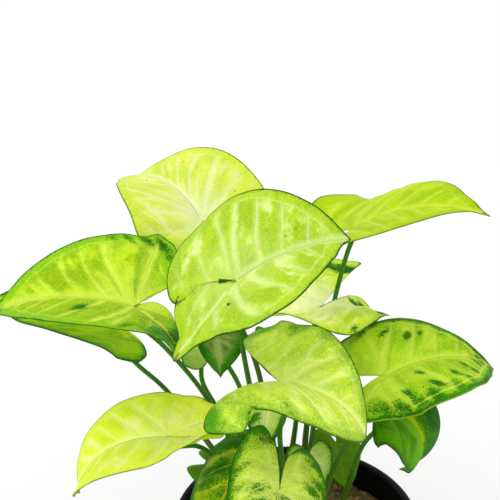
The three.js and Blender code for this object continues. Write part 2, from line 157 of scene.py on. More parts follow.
# Leaves. Lengths in mm, angles in degrees, and pairs are (left, right) of the midrib.
# at is where the stalk joins, heading the tip's direction from above, pitch its fall.
# bend, sweep and twist turn the midrib towards the tip, and droop drops the lobes.
# fold, curl and lift raise the halves.
# foot is where the stalk enters the soil, via the points it passes on the way down.
leaves = {
    "top": {
        "at": (-28, -45, 252), "heading": 8, "pitch": -38, "roll": 22,
        "length": 50, "half": (38, 39), "lobe": 39, "lobes": (0.72, 0.94), "spread": (0, 0),
        "belly": (1, 0), "taper": (0.9, 0), "sinus": (0.1, -0.6), "lean": 9,
        "bend": 45, "droop": 22, "sweep": -10, "twist": 12, "fold": (30, 26), "curl": (-52, -6),
        "lift": (-15, 10), "wave": 1.2, "phase": -140,
        "foot": (-6, -4), "via": [(-27, -8, 210), (-23, -7, 181), (-14, -5, 140)],
    },
    "left": {
        "at": (-73.5, -8, 221), "heading": 185, "pitch": -21, "roll": -18,
        "length": 68, "half": (40, 42), "lobe": 20, "lobes": (1.27, 0.79), "spread": (-0.1, 0.14),
        "belly": (0, -0.7), "sinus": (0.5, 0.6), "lean": -4.5,
        "bend": 54.5, "droop": 7.5, "sweep": 3, "twist": -11, "fold": (25, 16.5), "curl": (14, -24.5),
        "lift": (-19.5, 15), "wave": 1.2, "phase": -86,
        "foot": (-15, -1), "via": [(-61, 2, 194), (-41, 6, 161)],
    },
    "leftUnder": {
        "at": (-86, 12, 202), "heading": 174, "pitch": -14, "roll": -8,
        "length": 66, "half": (38, 30), "lobe": 20, "lobes": (0.95, 0.4), "spread": (0.1, 0),
        "belly": (-1.2, 0),
        "bend": 22, "droop": 14, "sweep": -7, "twist": -3, "fold": (16, 15), "curl": (10, -17),
        "lift": (-8, 0), "wave": 1.6, "phase": 122,
        "foot": (-21, 7), "via": [(-77, 16, 178), (-62, 18, 160)],
    },
    "backLeft": {
        "at": (-47, 58, 235), "heading": 127, "pitch": -35, "roll": 0,
        "length": 71, "half": (37, 37), "lobe": 22, "lobes": (1, 1), "spread": (0, 0),
        "bend": 73, "droop": 10, "sweep": 9, "twist": 6, "fold": (12, 13), "curl": (-19, 16), "lift": (0, 0),
        "wave": 3, "phase": 122,
        "foot": (-8, 10), "via": [(-22, 34, 174), (-17, 28, 158)],
    },
    "backRight": {
        "at": (26, 38, 238), "heading": -24, "pitch": -40, "roll": 10,
        "length": 67, "half": (40, 40), "lobe": 25, "lobes": (1, 1), "spread": (0.15, 0),
        "bend": 51, "droop": 2, "sweep": -4, "twist": -5, "fold": (10, 18), "curl": (-34, -10),
        "lift": (38, 0), "wave": 2.4, "phase": -67,
        "foot": (4, 14), "via": [(23.5, 37.3, 226), (19, 37.5, 204.8), (6, 28, 137)], "neck": 0,
    },
    "backMiddle": {
        "at": (10, 27, 201.9), "heading": 205, "pitch": 2, "roll": 6,
        "length": 38, "half": (36.5, 35), "lobe": 30, "lobes": (1.06, 1.05), "spread": (-0.24, 0.38),
        "sinus": (0, 2),
        "bend": -13, "droop": 33, "sweep": -3, "twist": 15, "fold": (15, 24), "curl": (-27, -14),
        "lift": (1, 13), "wave": 1.8, "phase": -56,
        "foot": (2, 4), "via": [(9, 22, 143)],
    },
    "lowLeft": {
        "at": (-59, -36, 172), "heading": 167, "pitch": 6, "roll": -5,
        "length": 70, "half": (38, 30), "lobe": 28, "lobes": (1, 1), "spread": (0, 0), "belly": (0, 1),
        "taper": (1, 0.5), "sinus": (0.2, 0.2),
        "bend": 78, "droop": -3, "sweep": 5, "twist": -30, "fold": (15, 12), "curl": (9, -22),
        "lift": (36, 0), "wave": 0.6, "phase": -150,
        "foot": (-14, -13), "via": [(-46, -26, 160), (-38, -22, 150)],
    },
    "middle": {
        "at": (-9, -60, 214), "heading": -9, "pitch": -2, "roll": -11,
        "length": 46, "half": (43, 39), "lobe": 25, "lobes": (0.93, 1), "spread": (0.5, 0.55),
        "belly": (-1, 0), "notch": (0, 0.24),
        "bend": 80, "droop": 5, "sweep": 8, "twist": 32, "fold": (11, 27), "curl": (2, -44), "lift": (-7, -9),
        "wave": 1.6, "phase": 58,
        "foot": (-1, -16), "via": [(-10, -42, 179), (-7, -30, 146)],
    },
    "right": {
        "at": (35.4, -30, 199), "heading": 20, "pitch": -22, "roll": 4,
        "length": 66, "half": (36, 32), "lobe": 28, "lobes": (1, 0.85), "spread": (0, 0.2),
        "belly": (-1.2, 0), "taper": (0.3, 0), "sinus": (3, 0.3), "lean": 5.5,
        "bend": 72, "droop": 13, "sweep": 0, "twist": 25, "fold": (13, 15), "curl": (-35, -15),
        "lift": (0, 12), "wave": 1.3, "phase": 95,
        "foot": (10, -6), "via": [(21, -20, 157), (13, -12, 126)],
    },
    "lowRight": {
        "at": (39, -16, 174), "heading": -7, "pitch": 11, "roll": 2,
        "length": 49, "half": (27, 27), "lobe": 21, "lobes": (0.5, 0.3), "spread": (0, 0.1),
        "belly": (0, 0.4), "taper": (1.5, 0), "notch": (0.2, 0),
        "bend": 137, "droop": 19, "sweep": -10, "twist": 27,
        "fold": (18, 8), "curl": (-15, -26), "lift": (-30, -14), "wave": 1.9, "phase": -54,
        "foot": (18, 2), "via": [(30, -8, 148), (23, 0, 111)],
    },
    "front": {
        "at": (-11, -74, 172), "heading": -95, "pitch": 7, "roll": -20,
        "length": 47, "half": (21, 21), "lobe": 35, "lobes": (0.9, 1.05), "spread": (0, 0),
        "bend": 5, "droop": 12, "sweep": 9, "twist": 0, "fold": (10, 9), "curl": (-19, -42), "lift": (-9, 20),
        "wave": 1.4, "phase": 191,
        "foot": (7, -24), "via": [(-6, -60, 142), (0, -44, 112)],
    },
    "frontLeft": {
        "at": (-27, -46, 162), "heading": -126, "pitch": 26, "roll": 13,
        "length": 38, "half": (18, 25), "lobe": 22, "lobes": (0.7, 1), "spread": (0, 0),
        "bend": 24, "droop": 15, "sweep": 0, "twist": -2, "fold": (12, 8), "curl": (-20, -35), "lift": (0, 3),
        "wave": 1.2, "phase": -154,
        "foot": (-8, -22), "via": [(-18, -38, 138)],
    },
}
youngLeaves = {
    "farLeft": {
        "at": (-41, 24, 113), "heading": -20, "pitch": 5, "length": 22, "half": (14, 14), "lobe": 11,
        "foot": (-20, 20), "via": [(-32, 24, 104)],
    },
    "hanging": {
        "at": (-38, 2, 199), "heading": -80, "pitch": 40, "length": 18, "half": (13, 9), "lobe": 12,
        "foot": (-10, 3), "via": [(-28, 6, 172)],
    },
    "lobeLeft": {
        "at": (-43, 26, 180), "heading": 120, "pitch": -35, "length": 24, "half": (15, 15), "lobe": 9,
        "foot": (-14, 12), "via": [(-46, 22, 165), (-37, 20, 146)],
    },
    "innerLeft": {
        "at": (-15, -28, 184), "heading": -110, "pitch": 60, "length": 24, "half": (10, 10), "lobe": 8,
        "foot": (0, -9), "via": [(-12, -22, 158)],
    },
    "innerFront": {
        "at": (4, -22, 151), "heading": -75, "pitch": 60, "length": 22, "half": (11, 11), "lobe": 7,
        "foot": (12, -14), "via": [(4, -18, 134)],
    },
    "innerRight": {
        "at": (21, 27, 124), "heading": -60, "pitch": 50, "length": 26, "half": (13, 13), "lobe": 10,
        "foot": (12, 14), "via": [(18, 23, 108)],
    },
    "innerBack": {
        "at": (-18.5, 49, 169), "heading": -50, "pitch": 35, "length": 20, "half": (11, 8), "lobe": 9,
        "foot": (-5, 22), "via": [(0, 45, 150)],
    },
}
youngShape = {
    "roll": 0, "lobes": (1, 1), "spread": (0.1, 0.1),
    "bend": 25, "droop": 12, "sweep": 0, "twist": 4, "fold": (12, 12), "curl": (-25, -25),
    "lift": (0, 0), "wave": 0.8, "phase": 60,
}
usual = {"belly": (0, 0), "taper": (0, 0), "notch": (0, 0), "sinus": (1, 1), "lean": 0, "neck": 0.8}
blade = {
    "rays": 108, "rings": 38, "youngRays": 44, "youngRings": 16, "lobeSteps": 12, "tipSteps": 24,
    "lobeReach": 1.1, "thickness": 0.44, "rimThickness": 0.2, "marginWaves": 5,
    "uneven": 0.004, "unevenWaves": (9, 34), "crinkle": 0.16, "crinkleWaves": (7, 24),
}
ribs = {
    "apart": 11.5, "youngApart": 7, "sweep": 0.35, "stagger": 0.35, "lobeSlant": 0.6,
    "quilt": 0.75, "groove": 0.35, "keel": 0.8, "youngScale": 0.5,
}


def turned(v, axis, angle):
    c, s = math.cos(angle), math.sin(angle)
    return v * c + np.cross(axis, v) * s + axis * axis.dot(v) * (1 - c)


def outlineAt(leaf, side, t):  # the rim of one half, from the tip at 0 to the joint at 1
    s = 0 if side > 0 else 1
    belly, taper, notch, sinus = (leaf[key][s] for key in ("belly", "taper", "notch", "sinus"))
    shape = np.array([  # shares of the length ahead, of the lobe behind and of the half out
        (1, 0, 0), (0.9, 0, 0.11 + 0.06 * belly), (0.75, 0, 0.36 + 0.1 * belly),
        (0.52, 0, 0.69 + 0.08 * belly), (0.28, 0, 0.92 + 0.05 * belly), (0.04, 0, 1),
        (0, -0.3, 0.99 - 0.2 * taper - notch),
        (0, -0.45 + 0.4 * notch, 0.95 - 0.3 * taper + 0.3 * notch), (0, -0.85, 0.72 - 0.3 * taper),
        (0, -1, 0.3 + 0.12 * sinus - 0.15 * taper), (0, -0.78, 0.17 * sinus), (0, -0.38, 0.05 * sinus),
        (-0.03, 0, 0),
    ])
    ahead, back, out = shape.T
    x = ahead * leaf["length"] + back * leaf["lobe"] * leaf["lobes"][s]
    y = (out - leaf["spread"][s] * back) * leaf["half"][s]
    p = np.stack([x, y], 1)
    p = np.vstack([2 * p[0] - p[1], p, 2 * p[-1] - p[-2]])
    spans = len(shape) - 1
    i = np.minimum((t * spans).astype(int), spans - 1)
    f = (t * spans - i)[:, None]
    a, b, c, d = (p[i + k] for k in range(4))
    curve = 2 * b + (c - a) * f + (2 * a - 5 * b + 4 * c - d) * f**2 + (3 * b - a - 3 * c + d) * f**3
    x, y = (0.5 * curve).T
    behind = np.clip(-x / leaf["lobe"], 0, 1)
    return x, side * y + leaf["lean"] * np.sin(math.pi * behind)


def spineOf(leaf):  # stations along the midrib: mm ahead of the joint, the point, and its ahead, left and up
    az, fall, roll = (math.radians(leaf[key]) for key in ("heading", "pitch", "roll"))
    ahead = np.array([math.cos(az) * math.cos(fall), math.sin(az) * math.cos(fall), -math.sin(fall)])
    left = turned(np.array([-math.sin(az), math.cos(az), 0]), ahead, roll)
    start = (0, np.array(leaf["at"], float), ahead, left, np.cross(ahead, left))

    def walk(run, steps, bend, sweep, twist):  # back along the lobes where run is negative
        bend, sweep, twist = (math.radians(angle) / steps / 2 for angle in (bend, sweep, twist))
        stations = []
        _, at, a, l, u = start
        for i in range(1, steps + 1):
            for half in (0, 1):  # half the turn before the step and half after
                a, u = turned(a, l, bend), turned(u, l, bend)
                a, l = turned(a, u, sweep), turned(l, u, sweep)
                l, u = turned(l, a, twist), turned(u, a, twist)
                if half == 0:
                    at = at + a * run / steps
            stations.append((run * i / steps, at, a, l, u))
        return stations

    reach = blade["lobeReach"] * max(leaf["lobes"])
    back = walk(-leaf["lobe"] * reach, blade["lobeSteps"], -leaf["droop"] * reach, 0, 0)
    ahead = walk(leaf["length"], blade["tipSteps"], leaf["bend"], leaf["sweep"], leaf["twist"])
    return [np.array(column, float) for column in zip(*back[::-1], start, *ahead)]


def surfaceAt(leaf, spine, x, y, rho=0.0, t=0.0, side=1.0):  # leaf-plane places bent into the leaf's shape
    xs, points, _, lefts, ups = spine
    at, left, up = (np.stack([np.interp(x, xs, v[:, k]) for k in range(3)], -1) for v in (points, lefts, ups))
    left, up = (v / np.linalg.norm(v, axis=-1, keepdims=True) for v in (left, up))
    s = np.where(y >= 0, 0, 1)
    half, fold, lift, curl = (np.array(leaf[key], float)[s] for key in ("half", "fold", "lift", "curl"))
    out = np.abs(y)
    behind = np.clip(-x / leaf["lobe"], 0, 1.2) ** 2
    fold = np.radians(fold + lift * behind)
    bow = np.radians(curl) / half * out / 2
    chord = out * np.sinc(bow / math.pi)
    fade = np.minimum(1, 4 * t) * np.minimum(1, 4 * (1 - t))
    swing = math.pi * blade["marginWaves"] * t + math.radians(leaf["phase"]) + np.where(side < 0, 1.7, 0)
    ripple = leaf["wave"] * rho**2 * fade * np.sin(swing)
    across = chord * np.cos(fold + bow) * np.where(s, -1, 1)
    rise = chord * np.sin(fold + bow) + ripple
    return at + left * across[..., None] + up * rise[..., None]


def sideRibs(leaf, look, apart, x, y):  # side ribs counted ahead from the joint
    out = np.abs(y)
    count = np.zeros_like(x)
    for s, courses in enumerate(look["courses"]):
        courses = courses or [(-s * ribs["stagger"] * apart, look["slant"], ribs["sweep"] / leaf["half"][s])]
        offs = [x - start - slope * out - turn * out**2 for start, slope, turn in courses]
        run = offs[0] / apart
        for k, (off, after) in enumerate(zip(offs, offs[1:])):
            run = np.where(off > 0, k + np.minimum(1, off / np.maximum(4, off - after)), run)
        run = np.where(offs[-1] > 0, len(offs) - 1 + offs[-1] / apart, run)
        count = np.where((y >= 0) == (s == 0), run, count)
    return count


def lobeRuns(leaf, x, y):  # small ribs counted down the lobe, and mm off the lobe's own rib
    s = np.where(y >= 0, 0, 1)
    back, out = 0.75 * leaf["lobe"] * np.array(leaf["lobes"])[s], 0.5 * np.array(leaf["half"])[s]
    size = np.hypot(back, out)
    a, b = back / size, out / size
    along, across = b * np.abs(y) - a * x, b * x + a * np.abs(y)
    across = across + 0.12 * along**2 / size
    return (along - ribs["lobeSlant"] * np.abs(across)) / (0.42 * size), across


def roughness(rng, turn, waves):  # a random sum of waves round the rim
    return sum(rng.normal() * np.sin(n * turn + rng.uniform(0, 6.28)) / math.sqrt(n) for n in range(*waves))


def normalsOf(at, triangles):
    normal = np.zeros_like(at)
    for face in triangles:
        a, b, c = (at[face[:, n]] for n in range(3))
        for n in range(3):
            np.add.at(normal, face[:, n], np.cross(b - a, c - a))
    return normal / np.linalg.norm(normal, axis=1, keepdims=True)


def bladeGrid(leaf, rays, rings, seed):  # the blade's middle sheet, in rings round the joint
    k = np.arange(2 * rays)
    sides = np.where(k <= rays, 1, -1)
    ts = np.where(k <= rays, k, 2 * rays - k) / rays
    turn = math.pi * k / rays
    rng = np.random.default_rng(seed)
    left, right = (np.array(outlineAt(leaf, side, ts)) for side in (1, -1))
    ends = np.minimum(1, 8 * ts) * np.minimum(1, 8 * (1 - ts))
    uneven = 1 + blade["uneven"] * roughness(rng, turn, blade["unevenWaves"]) * ends
    rimX, rimY = np.where(sides > 0, left, right) * uneven

    def spread(rows, columns):  # the joint first, then ring by ring
        return np.concatenate([[0], np.outer(rows, columns).ravel()])

    rho = (np.arange(1, rings + 1) / rings) ** 0.9
    x, y, share = spread(rho, rimX), spread(rho, rimY), spread(rho, 0 * k + 1)
    t, side, angle = (spread(0 * rho + 1, column) for column in (ts, sides, turn))
    gaps = np.hypot(x[:, None] - rimX, y[:, None] - rimY)
    at = surfaceAt(leaf, spineOf(leaf), x, y, share, t, side)

    def ring(j, i):
        return 1 + (j - 1) * 2 * rays + i % (2 * rays)

    fan = np.stack([0 * k, ring(1, k), ring(1, k + 1)], 1)
    j, i = (grid.ravel() for grid in np.meshgrid(np.arange(1, rings), k, indexing="ij"))
    quads = np.stack([ring(j, i), ring(j + 1, i), ring(j + 1, i + 1), ring(j, i + 1)], 1)
    normal = normalsOf(at, (fan, quads[:, :3], quads[:, [0, 2, 3]]))
    crinkle = blade["crinkle"] * roughness(rng, angle, blade["crinkleWaves"]) * share**4
    return {
        "x": x, "y": y, "edge": gaps.min(1),
        "outside": gaps[:, ts < 0.8].min(1),  # as edge, but not to the sinus
        "at": at + normal * crinkle[:, None], "normal": normal,
        "fan": fan, "quads": quads, "rim": np.stack([ring(rings, k), ring(rings, k + 1)], 1),
    }


# Each look changes the usual one. Lime is the leaf's colour, deep its darker streaks and the painted
# shade beside its ribs and on one half, cream its veins and bank its margin. Moss and green are the
# fringe and the heart of the dark specks. furrowShade is how strong the painted shade beside the ribs is.
# Rim and shore are (width, strength), and tone is how far each half turns to the deep green:
# painted shade on the left leaf's lower half, which faces away from the light, and lowRight's own darker
# half.
# Courses are side ribs as (start ahead of the joint, slope, turn), for the left and the right half.
# shadedSlot is where a painted shadow in the slot behind the joint ends, brown a dry spot and glow a strip of
# lime.
# Each of the three is (ahead of the joint, out to the left, radius), and so are the green patches,
# each with its strength.
usualLook = {
    "lime": (0.46, 0.64, 0.006), "deep": (0.3, 0.52, 0.002), "cream": (0.66, 0.78, 0.26),
    "bank": (0.16, 0.4, 0.002), "moss": (0.07, 0.24, 0.003), "green": (0.014, 0.1, 0.002),
    "hemColour": (0.03, 0.08, 0.003), "slotShadeColour": (0.012, 0.1, 0.002),
    "brownColour": (0.16, 0.12, 0.03), "glowColour": (0.13, 0.42, 0.001), "paleColour": (0.3, 0.42, 0.06),
    "hairColour": (0.1, 0.17, 0.008), "fleckColour": (0.09, 0.17, 0.01), "veins": 0.9, "sideVeins": 0.75,
    "loop": 0.3, "net": 0.2, "wash": 0.6, "heart": 0.4, "depth": 0.8, "furrowShade": 0.35, "tone": (0, 0),
    "pale": 0.85, "hem": 0.85, "rim": (1.0, 0.4), "shore": (4, 0.5), "speckle": 1.0, "soft": 0.12,
    "slant": 0.5, "wander": 0.3, "shadedSlot": (), "brown": (), "glow": (), "courses": ((), ()), "patches": (),
}
looks = {
    # painted shade: this leaf's colours are darker than the others' to make up for the stronger light it gets
    "top": {
        "lime": (0.37, 0.54, 0.002), "deep": (0.25, 0.44, 0.001), "cream": (0.63, 0.74, 0.26),
        "hemColour": (0.03, 0.06, 0.003), "veins": 0.95, "sideVeins": 0.9, "wash": 0.85, "heart": 0.3,
        # the slot's values place a painted shadow behind the joint
        "hem": 1, "rim": (1.2, 0.6), "shore": (5, 0.3), "slant": 0.35, "shadedSlot": (-6.2, 4.6, 0.7),
        "brown": (-32.5, -18.5, 3.2),
        "courses": (
            ((1.6, 0.4, 0), (11, 0.36, 0), (21, 0.34, 0), (31, 0.32, 0)),
            ((0, -0.25, 0.0105), (6, 0.12, 0.013), (18, 0.3, 0.006)),
        ),
        "patches": (
            (-5, -15.7, 0.9, 1.4), (25, 6.4, 0.6, 1.2), (22.8, -2, 0.6, 1.2), (-36, -21, 3, 0.7),
        ),
    },
    "left": {
        "lime": (0.42, 0.62, 0.003), "deep": (0.17, 0.34, 0.001), "cream": (0.62, 0.76, 0.08),
        "bank": (0.14, 0.42, 0.001), "wash": 0.5, "heart": 0.75, "furrowShade": 0.75,
        # painted shade: the lower, left half turns deep green as it faces away from the light
        "tone": (1, 0.1), "rim": (1.3, 0.6), "shore": (12, 0.9), "slant": 0.6,
        "courses": (
            ((0, 0.35, 0.006), (13, 0.5, 0.004), (26, 0.6, 0)),
            ((0, -0.16, 0), (1, 0.95, -0.0125), (11.5, 0.95, -0.0135), (23, 0.95, -0.02)),
        ),
        "patches": (
            (14, -36, 4, 0.55), (8, -38, 4, 0.75), (0, -40, 5, 0.85), (-8, -39, 5, 0.9),
            (-12, -32, 6, 0.65), (-14, -22, 5, 0.5), (22, 12.8, 3.6, 1.05), (14, 14, 3, 0.35),
            # the big soft patches behind the joint on the left half are painted shade on the lower lobe
            (-9, 26, 10, 0.85), (-16, 18, 11, 0.85), (-22, 8, 9, 0.8), (4, 32, 6, 0.6), (-6, 14, 9, 0.42),
            (62, 3, 5, 0.7),
        ),
    },
    "leftUnder": {
        "lime": (0.5, 0.8, 0.001), "deep": (0.22, 0.55, 0.001), "cream": (0.7, 0.88, 0.01),
        "bank": (0.12, 0.4, 0.001), "wash": 0.5, "heart": 0.1, "pale": 0.15, "rim": (2, 0.8),
        "shore": (6, 0.9), "patches": ((-10, 14, 6, 0.4),),
    },
    "backLeft": {
        "lime": (0.56, 0.65, 0.035), "deep": (0.44, 0.58, 0.015), "cream": (0.7, 0.74, 0.4),
        "bank": (0.42, 0.62, 0.004), "wash": 0.5, "heart": 0.6, "furrowShade": 0.2, "rim": (0.8, 0.2),
        "shore": (5, 0.4), "slant": 0.9,
        "courses": ((), ((-0.5, 1.2, -0.013), (9, 1.9, -0.04), (20, 1.5, -0.02))),
    },
    "backRight": {
        "lime": (0.38, 0.54, 0.001), "deep": (0.26, 0.43, 0.001), "cream": (0.54, 0.66, 0.06),
        "bank": (0.22, 0.42, 0.001), "wash": 0.35, "heart": 0.3, "furrowShade": 0.5, "shore": (7, 0.6),
        "patches": ((64, 0, 2.5, 0.8),),
    },
    # painted light: the colours, cream wash and heart are lifted to make up for the shade of the top leaf
    # above
    "backMiddle": {
        "lime": (0.72, 0.9, 0.02), "deep": (0.5, 0.74, 0.003), "cream": (0.95, 0.97, 0.5),
        "bank": (0.2, 0.5, 0.002), "wash": 1, "heart": 1, "pale": 0.3, "rim": (1.2, 0.5),
        "shore": (5, 0.5),
        "patches": (
            (-24, -26, 6, 1.2), (-18, -31, 6, 1.2), (-29, -20, 5, 1.2), (-13, -33, 5, 1.1),
            (-20, -2, 2.5, 1), (-25, 0, 3, 1.1), (-29, 5, 3, 1.1), (-28, 11, 3.5, 1.1),
            (-24, 17, 3.5, 1.1), (-20, 22, 3.5, 1), (0, 34, 4, 0.6),
        ),
    },
    # painted light: the colours are lifted to make up for the shade it lies in
    "lowLeft": {
        "lime": (0.68, 0.8, 0.012), "deep": (0.56, 0.74, 0.004), "cream": (0.78, 0.84, 0.26),
        "bank": (0.3, 0.5, 0.003), "wash": 0.8, "furrowShade": 0.15, "rim": (0.8, 0.35), "shore": (3, 0.5),
        "slant": 0.9,
        "courses": (((0, -0.1, 0), (11, 0, 0), (22, 0.1, 0)), ((-1, 1.05, 0), (11, 1.05, 0))),
    },
    "middle": {
        "lime": (0.5, 0.7, 0.01), "deep": (0.34, 0.56, 0.003), "cream": (0.8, 0.88, 0.26),
        "bank": (0.17, 0.4, 0.002), "green": (0.04, 0.18, 0.002), "net": 0.35,
        "wash": 0.7, "rim": (1.2, 0.7), "shore": (9, 0.75), "speckle": 0.8, "soft": 0.4,
        "patches": (
            (-27, -36, 12, 1.1), (-22, -48, 9, 1.1), (-31, -27, 7, 0.95), (-14, 48, 8, 0.75),
            (2, 43, 8, 0.7), (-22, 46, 7, 0.75), (-17, -30, 14, 0.42), (-8, -40, 10, 0.42),
            (6, -36, 8, 0.4), (14, 38, 7, 0.6), (22, 30, 6, 0.5), (4, -33, 2, 0.5), (24, 12, 3, 0.35),
        ),
    },
    "right": {
        "lime": (0.31, 0.53, 0.001), "deep": (0.15, 0.38, 0.001), "cream": (0.54, 0.68, 0.06),
        "bank": (0.1, 0.32, 0.001), "hemColour": (0.3, 0.38, 0.02), "loop": 0.95, "net": 0.35,
        "wash": 0.45, "heart": 0.35, "furrowShade": 0.6, "hem": 0.6, "rim": (2.7, 1.35), "shore": (9, 0.7),
        "speckle": 1.15, "slant": 0.6,
        "courses": (
            ((-1.5, 0.68, 0), (12, 0.6, 0), (24, 0.6, 0)),
            ((0, -0.06, 0), (11.5, 0.4, 0), (24, 0.5, 0)),
        ),
        "patches": (
            (9.3, 21.6, 1.8, 1), (13, 23, 1.8, 0.9), (18.7, 15.5, 2.4, 1.1), (24.8, 15.2, 2, 0.9),
            (4.9, 32, 3, 0.9), (10.8, 31, 3, 0.9), (19, 28, 3, 0.6), (28, 22, 3, 0.6), (35, 15, 3, 0.6),
            (43, 9, 3, 0.6), (11.6, -9.3, 2.2, 1.1), (14, -19.8, 3, 1.1), (24.7, -14.1, 2.4, 1.2),
            (1, -18.5, 3, 0.8), (34.5, -8.1, 2.6, 1), (37, -12.2, 2.6, 1), (3, -27, 5, 0.85),
            (-11, -22, 7, 0.7), (-4, -25, 6, 0.75), (10.4, -27, 5, 1.1), (21.6, -23.8, 4, 0.9),
            (30, -19, 4, 0.8), (52, 2, 6, 0.9), (46, -4, 5, 0.7), (-14, 30, 5, 0.7), (-9, 33, 5, 0.7),
        ),
    },
    "lowRight": {
        "lime": (0.11, 0.33, 0.001), "deep": (0.02, 0.13, 0.001), "cream": (0.45, 0.58, 0.004),
        "bank": (0.03, 0.14, 0.001), "green": (0.008, 0.075, 0.002), "sideVeins": 0, "net": 0.03,
        "wash": 0, "heart": 0, "depth": 0.5, "furrowShade": 0, "tone": (1, 0), "rim": (2.5, 0.8),
        "shore": (6, 0.5), "wander": 0.2, "glow": (26, -5.5, 3.6),
        "patches": (
            (24, 16, 12, 1.2), (36, 12, 10, 1.1), (10, 14, 10, 1.2), (16, 24, 10, 1.1), (40, 6, 5, 0.8),
            (-4, -10, 9, 0.45),
        ),
    },
    "front": {
        "lime": (0.42, 0.64, 0.004), "deep": (0.28, 0.5, 0.002), "cream": (0.82, 0.9, 0.2),
        "bank": (0.12, 0.36, 0.002), "net": 0.4, "wash": 1, "heart": 0.6, "rim": (2.6, 1.0),
        "shore": (5, 0.7), "speckle": 1.5,
        "patches": (
            (-33, -12, 7, 1.1), (-29, -16, 6, 1.0), (-29, -7, 6, 0.7), (-7, -18, 4, 0.6),
            (3.7, -18, 4, 0.6), (2, -9, 4, 0.75), (-32, 8.5, 6, 1.2), (-28, 14, 6, 1.1),
            (-20, 17, 5, 1.0), (-9, 18, 5, 0.85), (-5, 13.5, 4, 0.8), (5, 3, 5, 0.7), (10, -8, 5, 0.7),
        ),
    },
    "frontLeft": {
        "lime": (0.3, 0.47, 0.003), "deep": (0.12, 0.32, 0.001), "cream": (0.62, 0.66, 0.04), "wash": 0.5,
        "rim": (3, 1.1), "speckle": 1.3,
        "patches": (
            (-10, -17, 9, 1.1), (-13, -12, 9, 1.2), (3, -12, 8, 1.1), (1, -4, 7, 1.0), (11, -12, 7, 0.8),
            (12, 2, 8, 0.8), (-4, 8, 9, 0.9),
        ),
    },
    "farLeft": {
        "lime": (0.05, 0.15, 0.002), "deep": (0.03, 0.11, 0.001), "cream": (0.1, 0.22, 0.01),
        "veins": 0.3, "wash": 0.2,
    },
    "hanging": {
        "lime": (0.025, 0.11, 0.002), "deep": (0.012, 0.07, 0.001), "cream": (0.3, 0.42, 0.1),
        "wash": 0.3, "heart": 0.2, "pale": 0.15, "rim": (3.4, 1.2),
    },
    "lobeLeft": {"lime": (0.2, 0.42, 0.002), "deep": (0.12, 0.3, 0.001), "veins": 0.4, "wash": 0.1},
    "innerLeft": {
        "lime": (0.42, 0.56, 0.02), "rim": (2.4, 0.9), "patches": ((8, -6, 4, 0.9), (0, -7, 3, 0.8)),
    },
    "innerFront": {
        "lime": (0.25, 0.42, 0.004), "deep": (0.15, 0.32, 0.002), "veins": 0.5, "rim": (2.0, 0.7),
    },
    "innerRight": {
        "lime": (0.05, 0.17, 0.002), "deep": (0.03, 0.12, 0.001), "cream": (0.12, 0.25, 0.01),
        "veins": 0.4, "wash": 0.2,
    },
    "innerBack": {
        "lime": (0.04, 0.15, 0.002), "deep": (0.02, 0.1, 0.001), "cream": (0.1, 0.22, 0.01), "veins": 0.4,
        "wash": 0.2,
    },
}


